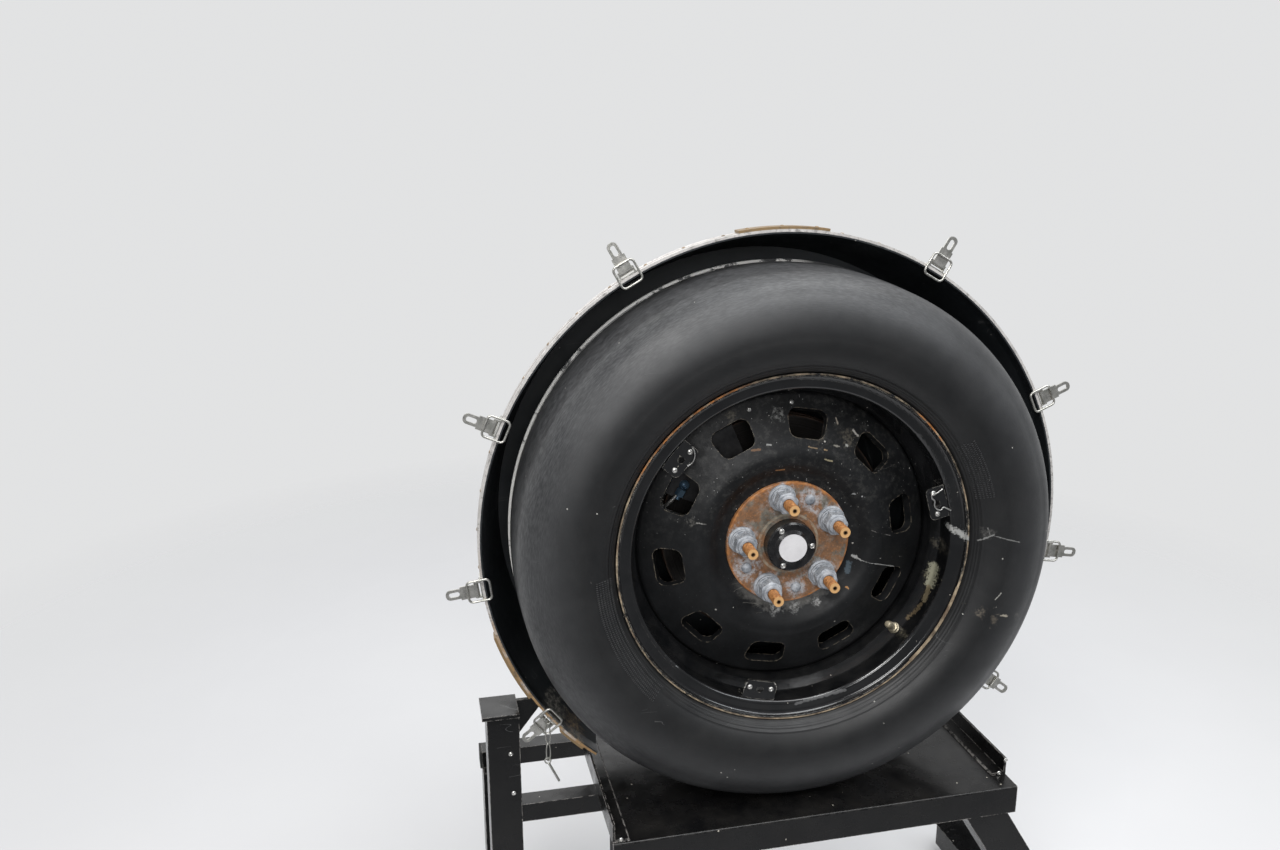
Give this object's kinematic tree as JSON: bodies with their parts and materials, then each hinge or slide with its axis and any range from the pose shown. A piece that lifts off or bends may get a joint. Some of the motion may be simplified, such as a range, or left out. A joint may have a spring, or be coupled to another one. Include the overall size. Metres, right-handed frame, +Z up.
{
  "type": "race car wheel in its tub on a tray stand",
  "caption": "Steel race wheel with slick tyre, hub, vented rotor and caliper, turning inside a round latched wheel tub on an axle stub, with its tyre on a black tray stand.",
  "frame": {"origin": "on the floor, at the bottom centre of the whole box", "axes": "+X along the car, to the right as seen from outside; +Y inboard, along the wheel's axle; +Z up"},
  "size_m": [0.8988, 0.4772, 1.1205],
  "materials": {
    "tyre_rubber": "satin, dusty",
    "wheel_black": "gloss, chipped",
    "rusted_plate": "rusted",
    "stud_brass": "rough",
    "nut_zinc": "dull zinc",
    "cap_black": "gloss",
    "badge_white": "satin",
    "bright_steel": "satin",
    "valve_brass": "satin",
    "bare_steel": "machined",
    "rotor_iron": "machined, rusted edge",
    "caliper_black": "black anodised",
    "tub_black": "satin",
    "edge_aluminium": "bare",
    "stand_black": "gloss",
    "foot_rubber": "matt"
  },
  "bodies": {
    "root": {"axle_stub": "bare_steel", "axle_tube": "bare_steel", "axle_end_flange": "bare_steel", "caliper_bracket": "bare_steel", "brake_caliper": "caliper_black", "tub_band": "tub_black", "tub_back": "tub_black", "tub_edge_strip": "edge_aluminium", "edge_doublers": "edge_aluminium", "tub_collar": "tub_black", "latch_bases": "bright_steel", "latch_levers": "bright_steel", "latch_bails": "bright_steel", "tray": "stand_black", "tray_side_left": "stand_black", "tray_side_right": "stand_black", "front_bearer": "stand_black", "crossbar": "stand_black", "back_bearer": "stand_black", "tray_rails": "stand_black", "front_post": "stand_black", "back_post": "stand_black", "front_leg": "stand_black", "back_leg": "stand_black", "runners": "stand_black", "base_crossbar": "stand_black", "feet": "foot_rubber", "tube_plugs": "foot_rubber", "post_saddle": "stand_black", "tub_gusset": "stand_black"},
    "wheel": {"rim_barrel": "wheel_black", "wheel_disc": "wheel_black", "tyre": "tyre_rubber", "hub_plate": "rusted_plate", "wheel_studs": "stud_brass", "lug_nuts": "nut_zinc", "plate_bolts": "nut_zinc", "centre_cap": "cap_black", "cap_badge": "badge_white", "cap_screws": "bright_steel", "cover_brackets": "wheel_black", "bracket_rivets": "bright_steel", "valve": "valve_brass", "hub": "bare_steel", "brake_rotor": "rotor_iron"}
  },
  "joints": [
    {"name": "wheel_spin", "type": "hinge", "parent": "root", "child": "wheel", "pos_m": [-0.03015, -0.05965, 0.7385], "axis": [0, 1, 0], "continuous": true}
  ]
}
